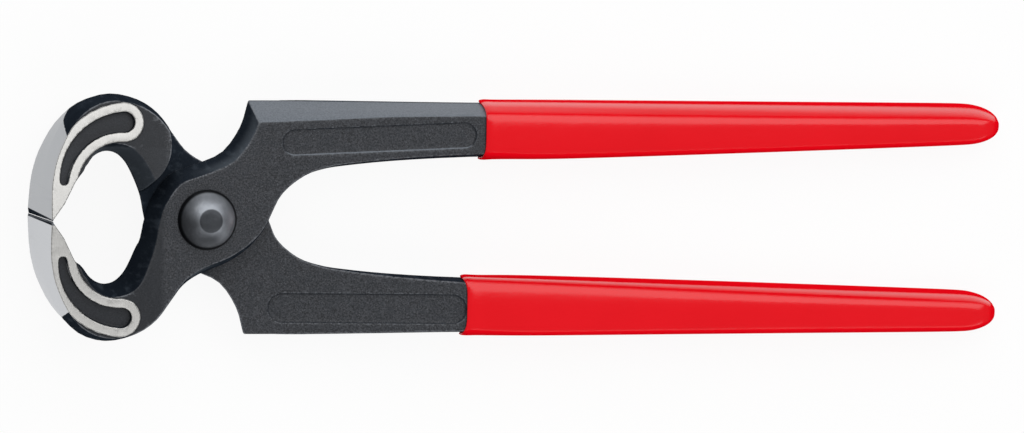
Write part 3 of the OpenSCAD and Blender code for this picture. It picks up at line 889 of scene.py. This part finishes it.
# %% [markdown]
# ## Each piece rides on its body
# The rivet and the upper grip stay with the front half, and the lower grip goes with the rear
# half, so that the tool opens as one. Each new piece stands for one solid of the frame.

# %% Say what rides on what
for piece, node, body, slot in (
    (front_steel, "front_half", "front", "forged_steel"),
    (rear_steel, "rear_half", "rear", "forged_steel"),
    (rivet, "pivot_rivet", "front", "rivet_steel"),
    (upper_coat, "upper_grip", "front", "dip_coat"),
    (lower_coat, "lower_grip", "rear", "dip_coat"),
):
    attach(piece, body)
    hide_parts(node)
    print(piece.name, "rides on", body)

# %% [markdown]
# ## The floor
# The tool lies on its jaws' edges and on the ends of its grips, which are thinner, so a flat
# floor meets it at a small angle, which is worked out from the coats' lowest points. The floor is
# white paper. What the camera and the gloss see of it is lifted to white, and the object's soft
# shadow stays.

# %% Lay the floor under the tool
FLOOR_SIZE = 12
FLOOR_GAP = 0.05 * MM

jaw_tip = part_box("front_half")[0]
coat_points = np.vstack([points(upper_coat.data), points(lower_coat.data)])
floor_rise = float((coat_points[:, 2] / (coat_points[:, 0] - jaw_tip.x)).min())
bpy.ops.object.select_all(action="DESELECT")
bpy.ops.mesh.primitive_plane_add(size=FLOOR_SIZE)
floor = bpy.context.object
floor.name = "floor"
floor.rotation_euler.y = -math.atan(floor_rise)
floor.location = (jaw_tip.x, 0, -FLOOR_GAP)
print("floor rises", round(math.degrees(math.atan(floor_rise)), 2), "degrees")

# %% White paper
PAPER_WHITE = (0.9, 0.9, 0.9, 1)
PAPER_GLOW = 0.92


def paper_material():
    material = bpy.data.materials.new("white paper")
    material.use_nodes = True
    tree = material.node_tree
    tree.nodes.clear()
    light_path = tree.nodes.new("ShaderNodeLightPath")
    seen = tree.nodes.new("ShaderNodeMath")
    seen.operation = "MAXIMUM"
    share = tree.nodes.new("ShaderNodeMath")
    share.operation = "MULTIPLY"
    share.inputs[1].default_value = PAPER_GLOW
    paper = tree.nodes.new("ShaderNodeBsdfDiffuse")
    paper.inputs["Color"].default_value = PAPER_WHITE
    glow = tree.nodes.new("ShaderNodeEmission")
    mixed = tree.nodes.new("ShaderNodeMixShader")
    output = tree.nodes.new("ShaderNodeOutputMaterial")
    for start, end in (
        (light_path.outputs["Is Camera Ray"], seen.inputs[0]),
        (light_path.outputs["Is Glossy Ray"], seen.inputs[1]),
        (seen.outputs[0], share.inputs[0]),
        (share.outputs[0], mixed.inputs[0]),
        (paper.outputs[0], mixed.inputs[1]),
        (glow.outputs[0], mixed.inputs[2]),
        (mixed.outputs[0], output.inputs[0]),
    ):
        tree.links.new(start, end)
    return material


floor.data.materials.append(paper_material())
print("floor material", floor.data.materials[0].name)

# %% [markdown]
# ## Light
# Two broad soft boxes hang on either side of the tool, the stronger one over its upper edge. The
# leaning rims on the jaws mirror them, while the level faces mirror the dim gap between them and
# keep their own colour. A dim even world fills the rest, and the lamps add up to plain daylight:
# a white sheet under them would come out just white.

# %% Soft boxes and world
WORLD_STRENGTH = 0.2


def soft_box(name, place, size, power):
    lamp = bpy.data.lights.new(name, "AREA")
    lamp.shape = "RECTANGLE"
    lamp.size, lamp.size_y = size
    lamp.energy = power
    obj = bpy.data.objects.new(name, lamp)
    scene.collection.objects.link(obj)
    obj.location = place
    aim = Vector((0, 0, lap_height)) - Vector(place)
    obj.rotation_euler = aim.to_track_quat("-Z", "Y").to_euler()


soft_box("upper side", (0.1, 0.57, 0.82), (1.6, 1.15), 10.4)
soft_box("lower side", (0.1, -0.62, 0.78), (1.6, 0.6), 4.4)

world = bpy.data.worlds.new("studio")
scene.world = world
world.use_nodes = True
background = world.node_tree.nodes["Background"]
background.inputs["Color"].default_value = (1, 1, 1, 1)
background.inputs["Strength"].default_value = WORLD_STRENGTH
scene.view_settings.view_transform = "Standard"

# %% [markdown]
# ## Camera
# The photograph looks almost straight down on the tool, from a little to the jaws' side and a
# little above the middle, through a long lens: lines that are parallel on the tool stay parallel.
# The camera's right and up directions were read from the slant of the cutting edge and of the
# handles, and they fix where it stands.

# %% Long lens at the photograph's angle
PICTURE_WIDTH = 1024
PIXELS_PER_METRE = 4397.0
LENS = 600.0
NEAREST, FARTHEST = 0.1, 20

right = Vector((0.9679, 0.0196, 0.2506)).normalized()
up = Vector((0.0, 0.997, -0.078))
toward = right.cross(up).normalized()
up = toward.cross(right).normalized()
aim_at = Vector((-2.2 * MM, 0.17 * MM, lap_height))
lens_data = bpy.data.cameras.new("camera")
lens_data.lens = LENS
lens_data.clip_start, lens_data.clip_end = NEAREST, FARTHEST
distance = LENS * PICTURE_WIDTH / (lens_data.sensor_width * PIXELS_PER_METRE)
camera = bpy.data.objects.new("camera", lens_data)
scene.collection.objects.link(camera)
camera.matrix_world = Matrix(
    (
        (right.x, up.x, toward.x, aim_at.x + toward.x * distance),
        (right.y, up.y, toward.y, aim_at.y + toward.y * distance),
        (right.z, up.z, toward.z, aim_at.z + toward.z * distance),
        (0, 0, 0, 1),
    )
)
scene.camera = camera
print("camera stands", round(distance, 2), "m away")
